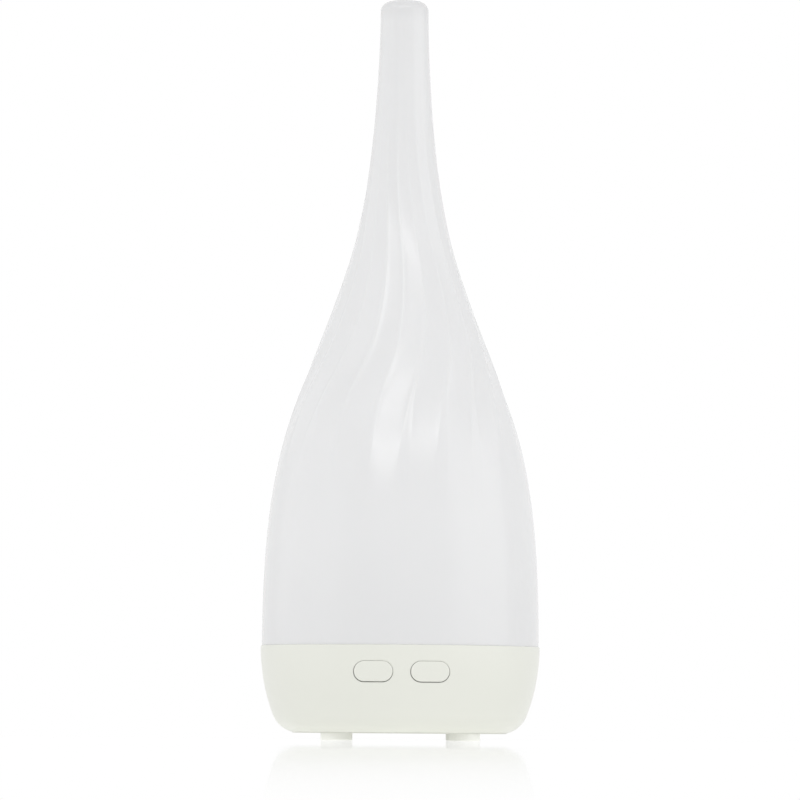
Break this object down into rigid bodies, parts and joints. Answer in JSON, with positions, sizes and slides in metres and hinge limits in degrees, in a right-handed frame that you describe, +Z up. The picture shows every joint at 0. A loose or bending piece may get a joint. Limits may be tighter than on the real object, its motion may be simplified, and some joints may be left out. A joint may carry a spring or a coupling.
{
  "type": "essential oil diffuser",
  "caption": "Ultrasonic essential oil diffuser: a tall bottle-shaped white mist cover lifts off a round base with a water tank, mist transducer, lamps, fan and push buttons.",
  "frame": {"origin": "on the surface that it stands on, under the centre of the round base", "axes": "+Z up along the axis of the body and the spout, -Y towards the front with the buttons, +X to the right as seen from the front"},
  "size_m": [0.095, 0.095, 0.253],
  "materials": {
    "cover_plastic": "satin milky translucent white",
    "lid_plastic": "clear, slightly frosted",
    "tank_plastic": "clear, slightly frosted",
    "housing_plastic": "satin warm off-white",
    "button_plastic": "satin warm off-white",
    "foot_plastic": "matt off-white",
    "inner_plastic": "natural white",
    "silicone": "matt translucent",
    "screw_steel": "bright zinc",
    "disc_brass": "bright",
    "black_plastic": "black moulded",
    "coil_copper": "lacquered copper",
    "shaft_steel": "ground",
    "board_green": "solder resist",
    "board_white": "white solder resist",
    "sink_aluminium": "extruded",
    "connector_plastic": "natural nylon",
    "lamp_resin": "yellow lens",
    "wire_red": "insulated wire",
    "wire_yellow": "insulated wire",
    "wire_blue": "insulated wire",
    "wire_grey": "insulated wire"
  },
  "bodies": {
    "base": {"base_housing": "housing_plastic", "bottom_plate": "housing_plastic", "foot_pads": "foot_plastic", "bottom_screws": "screw_steel", "water_tank": "tank_plastic", "tank_gasket": "silicone", "tank_screws": "screw_steel", "transducer_disc": "disc_brass", "transducer_seal": "silicone", "transducer_clamp": "inner_plastic", "clamp_screws": "screw_steel", "fan_frame": "black_plastic", "fan_bearing": "disc_brass", "fan_stator": "coil_copper", "fan_screws": "screw_steel", "air_duct": "inner_plastic", "main_board": "board_green", "main_board_screws": "screw_steel", "board_capacitors": "black_plastic", "board_inductor": "coil_copper", "heat_sink": "sink_aluminium", "driver_transistor": "black_plastic", "controller_chip": "black_plastic", "board_connectors": "connector_plastic", "dc_jack": "black_plastic", "dc_jack_pin": "shaft_steel", "jack_board": "board_green", "jack_board_screws": "screw_steel", "button_board": "board_green", "button_board_screws": "screw_steel", "light_switch": "black_plastic", "mist_switch": "black_plastic", "lamp_board": "board_white", "lamps": "lamp_resin", "power_wires": "wire_red", "fan_wires": "wire_red", "lamp_wires": "wire_yellow", "transducer_wires": "wire_blue", "button_wires": "wire_grey"},
    "cover": {"mist_cover": "cover_plastic"},
    "lid": {"tank_lid": "lid_plastic"},
    "light_key": {"light_button": "button_plastic", "light_switch_stem": "black_plastic"},
    "mist_key": {"mist_button": "button_plastic", "mist_switch_stem": "black_plastic"},
    "rotor": {"fan_rotor": "black_plastic", "fan_magnet": "shaft_steel", "fan_shaft": "shaft_steel"}
  },
  "joints": [
    {"name": "cover_lift", "type": "slide", "parent": "base", "child": "cover", "axis": [0, 0, 1], "range_m": [0, 0.08]},
    {"name": "lid_lift", "type": "slide", "parent": "base", "child": "lid", "axis": [0, 0, 1], "range_m": [0, 0.02]},
    {"name": "light_button_press", "type": "slide", "parent": "base", "child": "light_key", "axis": [0, 1, 0], "range_m": [0, 0.0005], "stiffness_N_per_m": 1500},
    {"name": "mist_button_press", "type": "slide", "parent": "base", "child": "mist_key", "axis": [0, 1, 0], "range_m": [0, 0.0005], "stiffness_N_per_m": 1500},
    {"name": "fan_spin", "type": "hinge", "parent": "base", "child": "rotor", "pos_m": [0, 0.01, 0.01], "axis": [0, 0, 1], "continuous": true}
  ]
}
